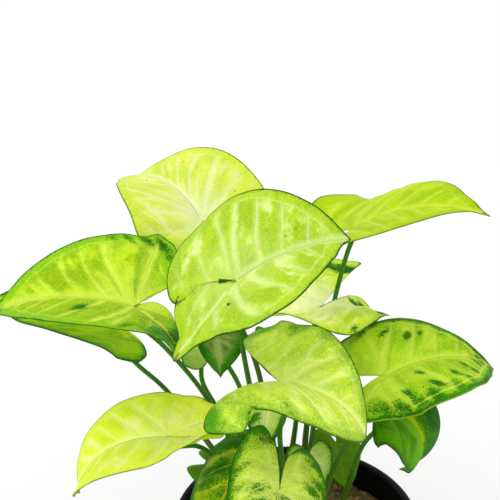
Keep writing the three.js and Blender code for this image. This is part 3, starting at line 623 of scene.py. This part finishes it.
def leafSkin(name, apart, look, seed):
    skin = Skin(name, look["lime"])
    ahead, out, edge = skin.mark("place")
    side, lobe, across = skin.mark("ribs")
    outside, amount, under = skin.mark("skin")
    place = skin.vector(ahead, out, 37.0 * seed)
    upper = 1 - under
    broad = skin.noise(place, 0.07, 2)
    patch = skin.noise(place, 0.32, 3, 0.6)
    grain = skin.noise(place, 1.1, 4, 0.7)
    tiny = skin.noise(place, 2.6, 2, 0.6)
    sway, blot, grit, dust = (noise - 0.5 for noise in (broad, patch, grain, tiny))  # the same, about 0

    def widest(a, b):
        return side.maths("MAXIMUM", a, b)

    # veins: mm off each kind of rib
    shifted = side + sway * look["wander"]
    sideOff = side.maths("PINGPONG", shifted, 0.5) * (apart * 0.85)
    lobeOff = side.maths("PINGPONG", lobe + sway * 0.6, 0.5) * (apart * 0.8)
    behind = skin.rise(side, -0.15, -0.4)
    inner = skin.rise(outside, 2.5, 9)
    mid = abs(out + sway * 0.6) + skin.rise(ahead, 1, -2, 0, 9)
    lobeMid = abs(across) + (1 - behind) * 9 + skin.rise(edge, 6, 1, 0, 3)

    def near(width, soft):  # 1 on the main and the small ribs, 0 from width mm off
        low = width * soft
        main = widest(skin.rise(mid, width * 1.5, low), skin.rise(lobeMid, width * 1.2, low))
        minor = skin.rise(lobeOff, width, low) * behind * 0.6
        return main, widest(skin.rise(sideOff, width, low) * (1 - behind), minor) * inner

    (mainLine, sideLine), (mainHalo, sideHalo) = near(0.6, 0.4), near(2.4, 0.1)
    first = skin.rise(abs(shifted), 1.6, 0.4, 0.45, 1)  # ribs are fainter away from the joint
    hair = widest(near(0.26, 0)[0], near(0.24, 0)[1] * skin.rise(abs(shifted), 1.4, 0.6) * 0.6)
    loop = skin.rise(abs(outside - 3.4 - broad * 3), 0.9, 0.2) * skin.rise(side, -0.5, 0.3)
    # painted shade: a deep green band on one side of each side rib, where the quilted blade would lie in
    # shade
    bed = abs(side.maths("WRAP", shifted, 0.5, -0.5) * apart - 2.2)
    furrowShade = skin.rise(bed + grit * 2, 2, 0.5) * skin.rise(abs(out), 2, 7)
    furrowShade = furrowShade * inner * (1 - behind) * first
    netAt = skin.vector(ahead + grain * 1.2, out + tiny * 1.2, seed)
    net = skin.rise(skin.cells(netAt, 0.75, "DISTANCE_TO_EDGE"), 0.16, 0.02)

    # lime and cream streaks between the veins, greener towards the margin,
    # with painted shade beside the ribs and on one half
    streak = skin.noise(skin.vector(shifted * 1.5, out * 0.07, seed), 1.0, 2, 0.5)
    low = skin.rise(streak + sway * 0.5 + blot * 0.2 + grit * 0.2, 0.56, 0.36)
    high = skin.rise(streak + blot * 0.3 + grit * 0.25, 0.53, 0.68) * skin.rise(edge, 2, 9)
    heart = skin.rise(skin.length(skin.vector(ahead * 0.8, out, 0)) + blot * 14, 24, 3)
    skin.paint(low * look["depth"], look["deep"])
    skin.paint(high * look["wash"], look["cream"])
    skin.paint(heart * look["heart"], look["cream"])
    # painted shade on the half that faces away from the light (left leaf); lowRight's own darker half
    tone = skin.rise(out, -2, 2, look["tone"][1], look["tone"][0])
    skin.paint(tone * skin.rise(patch + grain, 0.6, 1.2, 1, 0.6), look["deep"])
    width, strength = look["shore"]
    ragged = blot * 0.9 * width + grit * 0.6 * width
    skin.paint(skin.rise(outside + ragged, width, 0) * strength, look["bank"])
    # painted shade beside the side ribs
    skin.paint(furrowShade * look["furrowShade"], look["deep"])
    if look["glow"]:
        x, y, radius = look["glow"]
        strip = skin.rise(abs(out - y) + grit * 2, radius, radius * 0.6)
        skin.paint(strip * skin.rise(ahead, x - 24, x - 10) * 0.85, look["glowColour"])

    # cream halos, the fine net and the vein lines
    sideHalo = sideHalo * skin.rise(broad + patch, 0.7, 1.2, 0.3, 0.8) * first
    halo = widest(mainHalo * 0.9, sideHalo * min(1, 1.6 * look["sideVeins"]))
    skin.paint(halo * look["veins"], look["cream"])
    skin.paint(net * upper * look["net"], look["cream"])
    line = widest(mainLine * look["veins"], widest(sideLine * first, loop * look["loop"]) * look["sideVeins"])
    skin.paint(line, look["cream"])

    # dark specks with a mossy fringe
    moss = skin.rise(amount + blot * 0.8 + grit * 0.8, 0.12, 0.75) * (1 - line * 0.6)
    skin.paint(moss * 0.8, look["moss"])
    ragged = grit * 2.2 + dust * 1.2 + blot * 0.8 - net * 0.2 - line * 0.5
    dark = skin.rise(amount + ragged * look["speckle"], 0.42, 0.42 + look["soft"])
    lighter = [2.2 * c for c in look["green"]]
    green = skin.blend(skin.rise(grain + sway, 0.35, 0.65), look["green"], lighter)
    skin.paint(dark, green)
    # painted shadow: a dark wedge on the blade where the slot behind the joint lies in shade
    if look["shadedSlot"]:
        x, y, width = look["shadedSlot"]
        length = math.hypot(x, y)
        along = (ahead * x + out * y) * (1 / length)
        off = abs(ahead * y - out * x) * (1 / length)
        wedge = skin.rise(off - along * (width / length) + dust * 0.6, 0.5, 0.1)
        shadedSlot = wedge * skin.rise(along, length, length - 0.6) * skin.rise(along, 0.2, 1)
        skin.paint(shadedSlot, look["slotShadeColour"])
    if look["brown"]:
        x, y, radius = look["brown"]
        off = skin.length(skin.vector(ahead - x, out - y, 0)) + grit * 4 + dust * 2
        skin.paint(skin.rise(off, radius, radius * 0.3) * 0.85, look["brownColour"])

    # the paler underside, hairlines, the margin's edging and small flecks
    pale = [0.6 * a + 0.4 * b for a, b in zip(look["lime"], look["paleColour"])]
    skin.paint(under * look["pale"], pale)
    skin.paint(line * under * 0.45, look["cream"])
    skin.paint(hair * upper * 0.5, look["hairColour"])
    seam = skin.rise(outside, 2, 5)
    edging = skin.rise(edge * (1 + seam) + dust * 2.2 * (1 - seam * 0.8), 0.75, 0.35)
    skin.paint(edging * look["hem"], look["hemColour"])
    fleck = skin.rise(skin.cells(place, 0.1), 0.09, 0.05) * skin.rise(grain, 0.42, 0.6)
    skin.paint(fleck * upper * 0.6, look["fleckColour"])
    skin.shade(0.74 + grain * 0.3 + tiny * 0.22)

    height = grain * 0.35 + tiny * 0.15 - line * 0.8 - net * 0.25
    return skin.finish({
        "Roughness": skin.rise(grain, 0.3, 0.7, 0.42, 0.58),
        "Normal": skin.bump(height, 0.5, 0.0005),
        "Specular IOR Level": 0.025,
        "Subsurface Weight": 0.1,
        "Subsurface Radius": (0.5, 1.0, 0.1),
        "Subsurface Scale": 0.001,
    })


def specksAt(look, x, y, outside):  # how dark green the rim and the patches make each place
    width, strength = look["rim"]
    amount = strength * np.exp(-((outside / width) ** 2))
    for px, py, radius, strength in look["patches"]:
        courses = look["courses"][0 if py >= 0 else 1]
        slant = sum(course[1] for course in courses) / len(courses) if courses else look["slant"]
        off = x - px - slant * (np.abs(y) - abs(py))
        spot = strength * np.exp(-((off / (0.75 * radius)) ** 2) - ((y - py) / (1.15 * radius)) ** 2)
        amount = np.maximum(amount, spot)
    return amount


def growBlade(name, leaf, young, seed):
    look = {**usualLook, **looks.get(name, {})}
    rays, rings = (blade["youngRays"], blade["youngRings"]) if young else (blade["rays"], blade["rings"])
    apart, scale = (ribs["youngApart"], ribs["youngScale"]) if young else (ribs["apart"], 1.0)
    g = bladeGrid(leaf, rays, rings, seed)
    x, y, edge, outside = g["x"], g["y"], g["edge"], g["outside"]
    side = sideRibs(leaf, look, apart, x, y)
    lobe, across = lobeRuns(leaf, x, y)
    behind = 1 - smooth(side, -0.4, -0.15)
    between = (0.5 - 0.5 * np.cos(2 * math.pi * side)) * (1 - np.exp(-((y / 3) ** 2)))
    inLobe = (0.5 - 0.5 * np.cos(2 * math.pi * lobe)) * (1 - np.exp(-((across / 3) ** 2)))
    quilt = ribs["quilt"] * (between * (1 - behind) + inLobe * behind) * np.clip(edge / 7, 0, 1)
    taper = np.clip(1 - x / leaf["length"], 0, 1)
    midrib = np.where(x > 0, np.exp(-((y / 1.1) ** 2)), np.exp(-((x**2 + y**2) / 4)))
    lobeRib = np.exp(-((across / 0.9) ** 2)) * behind * np.clip(edge / 6, 0, 1)
    top = scale * (quilt - ribs["groove"] * (midrib * (0.3 + 0.7 * taper) + 0.6 * lobeRib))
    keel = scale * ribs["keel"] * (midrib * (0.15 + 0.85 * taper) + 0.4 * lobeRib) - scale * quilt * 0.8
    thicker = blade["thickness"] - blade["rimThickness"]
    body = (blade["rimThickness"] + thicker * np.clip(edge / 3, 0, 1)) / 2
    upper = g["at"] + g["normal"] * (body + top)[:, None]
    lower = g["at"] - g["normal"] * (body + keel)[:, None]
    n = len(x)
    faces = [*g["fan"].tolist(), *g["quads"].tolist()]
    faces += [*(g["fan"][:, ::-1] + n).tolist(), *(g["quads"][:, ::-1] + n).tolist()]
    a, b = g["rim"].T
    faces += np.stack([b, a, a + n, b + n], 1).tolist()

    amount = specksAt(look, x, y, outside)
    place = np.stack([x, y, edge], 1)
    runs = np.stack([side, lobe, across], 1)
    upperSkin = np.stack([outside, amount, 0 * x], 1)
    lowerSkin = np.stack([outside, amount * 0.5, 0 * x + 1], 1)
    marks = {
        "place": np.vstack([place, place]),
        "ribs": np.vstack([runs, runs]),
        "skin": np.vstack([upperSkin, lowerSkin]),
    }
    points = np.vstack([upper, lower])
    material = leafSkin(f"{name} leaf", apart, look, seed)
    addPiece(f"{name}_leaf", points, faces, material, [f"{name}_blade"], marks)


# Stalks
stalk = {
    "below": 1.2, "top": 1.15, "foot": 2.3, "soil": 89, "sunk": 6, "steps": 64, "sides": 20, "groove": 0.2,
    "lowColour": (0.035, 0.1, 0.004), "highColour": (0.022, 0.19, 0.002), "streak": (0.14, 0.3, 0.02),
    "footColour": (0.16, 0.15, 0.06), "fleck": (0.05, 0.11, 0.01),
}


def stalkSkin():
    skin = Skin("stalk", stalk["lowColour"])
    along, around, seed = skin.mark("place")
    lengthwise = skin.noise(skin.vector(around * 3, along * 1.5, seed), 2.5, 3)
    grain = skin.noise(skin.vector(around * 6, along * 40, seed), 1.5, 2)
    skin.paint(skin.rise(along, 0.35, 0.95), stalk["highColour"])
    skin.paint(skin.rise(lengthwise, 0.42, 0.62) * 0.35, stalk["streak"])
    skin.paint(skin.rise(along, 0.16, 0.0) * 0.6, stalk["footColour"])
    skin.paint(skin.rise(grain, 0.6, 0.75) * 0.3, stalk["fleck"])
    return skin.finish({
        "Roughness": skin.rise(grain, 0.3, 0.7, 0.4, 0.55),
        "Normal": skin.bump(lengthwise + grain * 0.4, 0.4, 0.0003),
        "Specular IOR Level": 0.12,
    })


def lineThrough(points, steps):  # a centripetal spline, evenly stepped
    p = np.array(points, float)
    p = np.vstack([2 * p[0] - p[1], p, 2 * p[-1] - p[-2]])
    f = np.linspace(0, 1, 40, endpoint=False)[:, None]
    curve = []
    for a, b, c, d in zip(p, p[1:], p[2:], p[3:]):
        ab, bc, cd = (math.sqrt(np.linalg.norm(v - u)) for u, v in ((a, b), (b, c), (c, d)))
        leave = ((b - a) / ab - (c - a) / (ab + bc) + (c - b) / bc) * bc
        reach = ((c - b) / bc - (d - b) / (bc + cd) + (d - c) / cd) * bc
        square, cube = 3 * (c - b) - 2 * leave - reach, 2 * (b - c) + leave + reach
        curve.append(b + leave * f + square * f**2 + cube * f**3)
    curve = np.vstack([*curve, p[-2]])
    run = np.concatenate([[0], np.cumsum(np.linalg.norm(np.diff(curve, axis=0), axis=1))])
    even = np.linspace(0, run[-1], steps + 1)
    return np.stack([np.interp(even, run, curve[:, k]) for k in range(3)], 1)


def stalkLine(leaf):  # from under the soil up to just below the joint
    spine = spineOf(leaf)
    up = spine[4][blade["lobeSteps"]]
    seat = surfaceAt(leaf, spine, np.array([2.5]), np.array([0.0]))[0]
    down = np.array(leaf["via"][0]) - seat
    down = down / np.linalg.norm(down) - leaf["neck"] * up
    down /= np.linalg.norm(down)
    x, y = leaf["foot"]
    points = [(x, y, stalk["soil"]), (x, y, stalk["soil"] + 8), *leaf["via"][::-1]]
    points += [seat + down * 8, seat + down * stalk["below"]]
    return np.vstack([[(x, y, stalk["soil"] - stalk["sunk"])], lineThrough(points, stalk["steps"])])


def growStalk(name, leaf, seed, material):
    line = stalkLine(leaf)
    count, n = len(line), stalk["sides"]
    share = np.clip((np.arange(count) - 1) / stalk["steps"], 0, 1)
    radius = stalk["foot"] + (stalk["top"] - stalk["foot"]) * np.sqrt(np.minimum(1, 1.6 * share))
    ahead = np.gradient(line, axis=0)
    ahead /= np.linalg.norm(ahead, axis=1, keepdims=True)
    x, y = leaf["foot"]
    across = np.cross(ahead[0], (-y, x, 0.01))  # the groove faces the pot's middle
    around = 2 * math.pi * np.arange(n) / n
    dent = np.exp(-((np.minimum(around, 2 * math.pi - around) / 0.5) ** 2))
    rings = []
    for i in range(count):
        across = across - ahead[i] * ahead[i].dot(across)
        across /= np.linalg.norm(across)
        other = np.cross(ahead[i], across)
        groove = stalk["groove"] * (0.4 + 0.6 * smooth(share[i], 0.5, 0.1)) * dent
        r = radius[i] * (1 - groove)
        rings.append(line[i] + np.outer(r * np.cos(around), across) + np.outer(r * np.sin(around), other))
    faces = []
    for i in range(count - 1):
        for k in range(n):
            a, b = i * n + k, i * n + (k + 1) % n
            faces.append((a, b, b + n, a + n))
    faces += [tuple(range(n))[::-1], tuple(range((count - 1) * n, count * n))]
    place = [np.repeat(share, n), np.tile(np.sin(around / 2) * 2, count), np.full(count * n, seed * 3.1)]
    points, marks = np.vstack(rings), {"place": np.stack(place, 1)}
    addPiece(f"{name}_stalk", points, faces, material, [f"{name}_petiole"], marks)


stalkMaterial = stalkSkin()
plants = {name: {**usual, **leaf} for name, leaf in leaves.items()}
plants.update({name: {**usual, **youngShape, **leaf} for name, leaf in youngLeaves.items()})
for seed, (name, leaf) in enumerate(plants.items()):
    growBlade(name, leaf, name in youngLeaves, seed)
    growStalk(name, leaf, seed, stalkMaterial)
print("leaves grown:", len(plants))


# Pot
pot = {
    "height": 100, "rim": 60, "foot": 43, "wall": 1.6, "floor": 2, "rimWidth": 4.2, "rimDrop": 11,
    "roll": 1.7, "bead": 0.25, "segments": 160, "holes": 6, "holeRadius": 4, "holeAt": 27,
    "black": (0.002, 0.002, 0.002), "dusty": (0.006, 0.006, 0.005), "scuffed": (0.05, 0.046, 0.04),
}


def outerAt(z):
    return pot["foot"] + (pot["rim"] - pot["rimWidth"] - pot["foot"] + pot["wall"]) * z / pot["height"]


def innerAt(z):
    return outerAt(z) - pot["wall"]


def turnedShell(profile, segments):  # a closed solid of revolution from the axis back to it
    around = 2 * math.pi * np.arange(segments) / segments
    points, rows = [], []
    for r, z in profile:
        if r == 0:
            rows.append([len(points)] * segments)
            points.append((0, 0, z))
        else:
            rows.append(list(range(len(points), len(points) + segments)))
            points += np.stack([r * np.cos(around), r * np.sin(around), 0 * around + z], 1).tolist()
    faces = []
    for low, high in zip(rows, rows[1:]):
        for k in range(segments):
            ring = [low[k], low[(k + 1) % segments], high[(k + 1) % segments], high[k]]
            faces.append(tuple(dict.fromkeys(ring)))
    return points, faces


def potSkin():
    skin = Skin("pot plastic", pot["black"])
    at = skin.node("ShaderNodeTexCoord", {}, {}, "Object")
    grain = skin.noise(at, 900, 3, 0.6)
    dust = skin.noise(at, 45, 5, 0.7)
    scuff = skin.noise(at, 160, 4, 0.75, 1.5)
    skin.paint(skin.rise(dust, 0.5, 0.75) * 0.35, pot["dusty"])
    skin.paint(skin.rise(scuff, 0.66, 0.72) * 0.5, pot["scuffed"])
    return skin.finish({
        "Roughness": skin.rise(dust, 0.35, 0.7, 0.34, 0.62),
        "Normal": skin.bump(grain, 0.25, 0.0002),
        "Specular IOR Level": 0.07,
    })


def potProfile():  # (radius, height) from under the floor, up the outside, over the rim and in
    top, rim, foot, width, bead = pot["height"], pot["rim"], pot["foot"], pot["rimWidth"], pot["bead"]
    lip = top - pot["rimDrop"]
    arch = [(math.cos(a), math.sin(a)) for a in np.linspace(0, math.pi, 15)]
    return [
        (0, 0), (foot - 3.0, 0), (foot - 1.2, 0.15), (foot - 0.4, 0.6), (foot, 1.6),
        (outerAt(4), 4), (outerAt(4.4) + bead, 4.4), (outerAt(6) + bead, 6), (outerAt(6.4), 6.4),
        *[(outerAt(z), z) for z in np.linspace(12, lip - 1, 10)],
        (outerAt(lip) + bead, lip - 0.3), (outerAt(lip) + 0.9, lip), (rim - 1.3, lip + 0.05),
        (rim - 0.55, lip + 0.3), (rim - 0.25, lip + 0.9), (rim - 0.2, lip + 4), (rim, lip + 4.6),
        (rim, top - 4.4),
        *[(rim - width / 2 + (width / 2) * c, top - pot["roll"] + pot["roll"] * s) for c, s in arch],
        (rim - width, top - 3), *[(innerAt(z), z) for z in np.linspace(lip, 6, 10)],
        (innerAt(3), 3), (innerAt(2) - 1.2, pot["floor"]), (0, pot["floor"]),
    ]


def makePot():
    points, faces = turnedShell(potProfile(), pot["segments"])
    shell = addPiece("pot_shell", points, faces, potSkin(), ["pot"])
    drills = []
    for i in range(pot["holes"]):
        a = 2 * math.pi * i / pot["holes"]
        drill, sides = turnedShell([(0, -2), (pot["holeRadius"], -2), (pot["holeRadius"], 4), (0, 4)], 32)
        mesh = bpy.data.meshes.new("drill")
        centre = (pot["holeAt"] * math.cos(a), pot["holeAt"] * math.sin(a), 0)
        mesh.from_pydata(((np.array(drill) + centre) * mm).tolist(), [], sides)
        drills.append(bpy.data.objects.new("drill", mesh))
        scene.collection.objects.link(drills[-1])
        cut = shell.modifiers.new("hole", "BOOLEAN")
        cut.operation, cut.solver, cut.object = "DIFFERENCE", "EXACT", drills[-1]
    bpy.context.view_layer.update()
    cutMesh = bpy.data.meshes.new_from_object(shell.evaluated_get(bpy.context.evaluated_depsgraph_get()))
    shell.modifiers.clear()
    shell.data = cutMesh
    cutMesh.set_sharp_from_angle(angle=math.radians(40))
    for drill in drills:
        bpy.data.objects.remove(drill)


makePot()
print("pot made")


# Soil and bark. Colours are (dark, light, red).
soil = {
    "height": 87, "mound": 2, "settled": 0.8, "bottom": 2.4, "gap": 0.35, "segments": 180, "rows": 46,
    "lumps": 1.3, "waves": 60, "coarse": 0.12, "finest": 0.9, "reach": 53, "seed": 5,
    "colours": ((0.042, 0.031, 0.01), (0.12, 0.092, 0.028), (0.23, 0.115, 0.036)),
}
bark = {
    "count": 620, "sizes": ((1.4, 4.2), (0.9, 2.2), (0.5, 1.2)), "raised": 0.25,
    "colours": ((0.08, 0.05, 0.015), (0.19, 0.125, 0.038), (0.3, 0.14, 0.045)),
}
pumice = {
    "count": 16, "sizes": ((0.8, 1.6), (0.7, 1.4), (0.6, 1.2)), "raised": 0.3,
    "colours": ((0.3, 0.29, 0.2), (0.5, 0.48, 0.38), (0.4, 0.36, 0.25)),
}


def lumps(x, y):
    rng = np.random.default_rng(soil["seed"])
    total = np.zeros_like(x, float)
    for _ in range(soil["waves"]):
        k = rng.uniform(soil["coarse"], soil["finest"])
        turn, phase = rng.uniform(0, 6.28), rng.uniform(0, 6.28)
        total += np.sin(k * (x * math.cos(turn) + y * math.sin(turn)) + phase) / (1 + 3 * k)
    return total / math.sqrt(soil["waves"]) * 1.6


def soilSkin(name, colours):
    dark, light, red = colours
    skin = Skin(name, dark)
    at = skin.node("ShaderNodeTexCoord", {}, {}, "Object")
    coarse, grain = skin.noise(at, 260, 5, 0.7), skin.noise(at, 1400, 4, 0.7)
    stretched = skin.node("ShaderNodeMapping", {}, {"Vector": at, "Scale": (1, 1, 4)})
    fibre = skin.noise(stretched, 420, 4, 0.65, 0.8)
    skin.paint(skin.rise(coarse, 0.4, 0.65), light)
    skin.paint(skin.rise(fibre, 0.52, 0.7) * 0.7, red)
    skin.shade(0.6 + grain * 0.8)
    return skin.finish({
        "Roughness": skin.rise(coarse, 0.3, 0.7, 0.72, 0.95),
        "Normal": skin.bump(coarse + grain * 0.5 + fibre * 0.5, 0.9, 0.0008),
        "Specular IOR Level": 0.25,
    })


def soilTop(x, y):
    r = np.hypot(x, y)
    mound = np.interp(r, [0, 30, 44, 55], [soil["mound"], soil["mound"] * 0.8, soil["mound"] * 0.2, 0])
    return soil["height"] + mound + soil["lumps"] * lumps(x, y) - soil["settled"]


def makeSoil():
    segments, rows = soil["segments"], soil["rows"]
    around = 2 * math.pi * np.arange(segments) / segments
    radii = (innerAt(soil["height"] - 1) - soil["gap"]) * (np.arange(1, rows + 1) / rows) ** 0.7
    x, y = (np.concatenate([[0], np.outer(radii, f(around)).ravel()]) for f in (np.cos, np.sin))
    rings = [np.stack([x, y, soilTop(x, y)], 1)]
    depths = (70, 40, soil["bottom"])
    for z in depths:
        r = innerAt(z) - soil["gap"]
        rings.append(np.stack([r * np.cos(around), r * np.sin(around), 0 * around + z], 1))
    total = rows + len(depths)
    faces = [(0, 1 + k, 1 + (k + 1) % segments) for k in range(segments)]
    for j in range(total - 1):
        for k in range(segments):
            a, b = 1 + j * segments + k, 1 + j * segments + (k + 1) % segments
            faces.append((a, a + segments, b + segments, b))
    faces.append(tuple(1 + (total - 1) * segments + k for k in range(segments))[::-1])
    addPiece("soil_mix", np.vstack(rings), faces, soilSkin("soil", soil["colours"]), ["soil"])


def makeBall():  # an icosahedron
    g = (1 + math.sqrt(5)) / 2
    points = [
        (-1, g, 0), (1, g, 0), (-1, -g, 0), (1, -g, 0), (0, -1, g), (0, 1, g),
        (0, -1, -g), (0, 1, -g), (g, 0, -1), (g, 0, 1), (-g, 0, -1), (-g, 0, 1),
    ]
    faces = [
        (0, 11, 5), (0, 5, 1), (0, 1, 7), (0, 7, 10), (0, 10, 11), (1, 5, 9), (5, 11, 4), (11, 10, 2),
        (10, 7, 6), (7, 1, 8), (3, 9, 4), (3, 4, 2), (3, 2, 6), (3, 6, 8), (3, 8, 9), (4, 9, 5),
        (2, 4, 11), (6, 2, 10), (8, 6, 7), (9, 8, 1),
    ]
    return np.array(points) / np.linalg.norm(points[0]), faces


def scatter(name, bits, material, seed):  # uneven bits laid at random on the soil
    rng = np.random.default_rng(seed)
    ball, ballFaces = makeBall()
    points, faces = [], []
    for i in range(bits["count"]):
        size = np.array([rng.uniform(*limits) for limits in bits["sizes"]])
        reach = soil["reach"] - size.max()
        r, turn = reach * math.sqrt(rng.uniform()), rng.uniform(0, 6.28)
        spin, tip = rng.uniform(0, 6.28), rng.normal(0, 0.35)
        lump = ball * (1 + rng.normal(0, 0.16, (12, 1))) * size
        c, s, ct, st = math.cos(spin), math.sin(spin), math.cos(tip), math.sin(tip)
        lump = lump @ np.array([(1, 0, 0), (0, ct, st), (0, -st, ct)])
        lump = lump @ np.array([(c, s, 0), (-s, c, 0), (0, 0, 1)])
        x, y = r * math.cos(turn), r * math.sin(turn)
        z = soilTop(np.array([x]), np.array([y]))[0] + size[2] * bits["raised"]
        faces += [tuple(12 * i + v for v in face) for face in ballFaces]
        points.append(lump + (x, y, z))
    piece = addPiece(name, np.vstack(points), faces, material)
    piece.data.set_sharp_from_angle(angle=math.radians(35))


makeSoil()
scatter("bark_chips", bark, soilSkin("bark", bark["colours"]), soil["seed"] + 1)
scatter("pumice_bits", pumice, soilSkin("pumice", pumice["colours"]), soil["seed"] + 2)
print("soil filled")


# Floor, light and camera
studio = {
    "floor": 12.0, "white": (0.73, 0.73, 0.73), "cool": (0.71, 0.71, 0.72), "sky": 1.12,
    "fieldOfView": 26, "down": 25, "eye": (-22.7, -426.84, 443.45),
}
lamps = {
    "overhead": {"toward": (-0.3, 0.2, 1), "angle": 60, "strength": 0.6},
    "front": {"toward": (-0.5, -1, 0.7), "angle": 70, "strength": 0.8},
}


def makeFloor():
    half = studio["floor"] / 2
    mesh = bpy.data.meshes.new("floor")
    corners = [(-half, -half, 0), (half, -half, 0), (half, half, 0), (-half, half, 0)]
    mesh.from_pydata(corners, [], [(0, 1, 2, 3)])
    skin = Skin("floor", studio["white"])
    at = skin.node("ShaderNodeTexCoord", {}, {}, "Object")
    skin.paint(skin.noise(at, 3, 2) * 0.3, studio["cool"])
    mesh.materials.append(skin.finish({"Roughness": 0.7, "Specular IOR Level": 0.2}))
    floor = bpy.data.objects.new("floor", mesh)
    scene.collection.objects.link(floor)


def makeLight():
    world = bpy.data.worlds.new("studio")
    world.use_nodes = True
    background = world.node_tree.nodes["Background"].inputs
    background["Color"].default_value = (1, 1, 1, 1)
    background["Strength"].default_value = studio["sky"]
    scene.world = world
    for name, lamp in lamps.items():
        light = bpy.data.lights.new(name, "SUN")
        light.angle, light.energy = math.radians(lamp["angle"]), lamp["strength"]
        holder = bpy.data.objects.new(name, light)
        holder.location = Vector(lamp["toward"])
        holder.rotation_euler = Vector(lamp["toward"]).to_track_quat("Z", "Y").to_euler()
        scene.collection.objects.link(holder)
    scene.view_settings.view_transform = "Standard"


def makeCamera():
    camera = bpy.data.cameras.new("camera")
    camera.sensor_width = 36
    camera.lens = camera.sensor_width / 2 / math.tan(math.radians(studio["fieldOfView"] / 2))
    camera.clip_start, camera.clip_end = 0.01, 50
    eye = bpy.data.objects.new("camera", camera)
    eye.location = Vector(studio["eye"]) * mm
    eye.rotation_euler = (math.radians(90 - studio["down"]), 0, 0)
    scene.collection.objects.link(eye)
    scene.camera = eye


makeFloor()
makeLight()
makeCamera()
print("studio set")
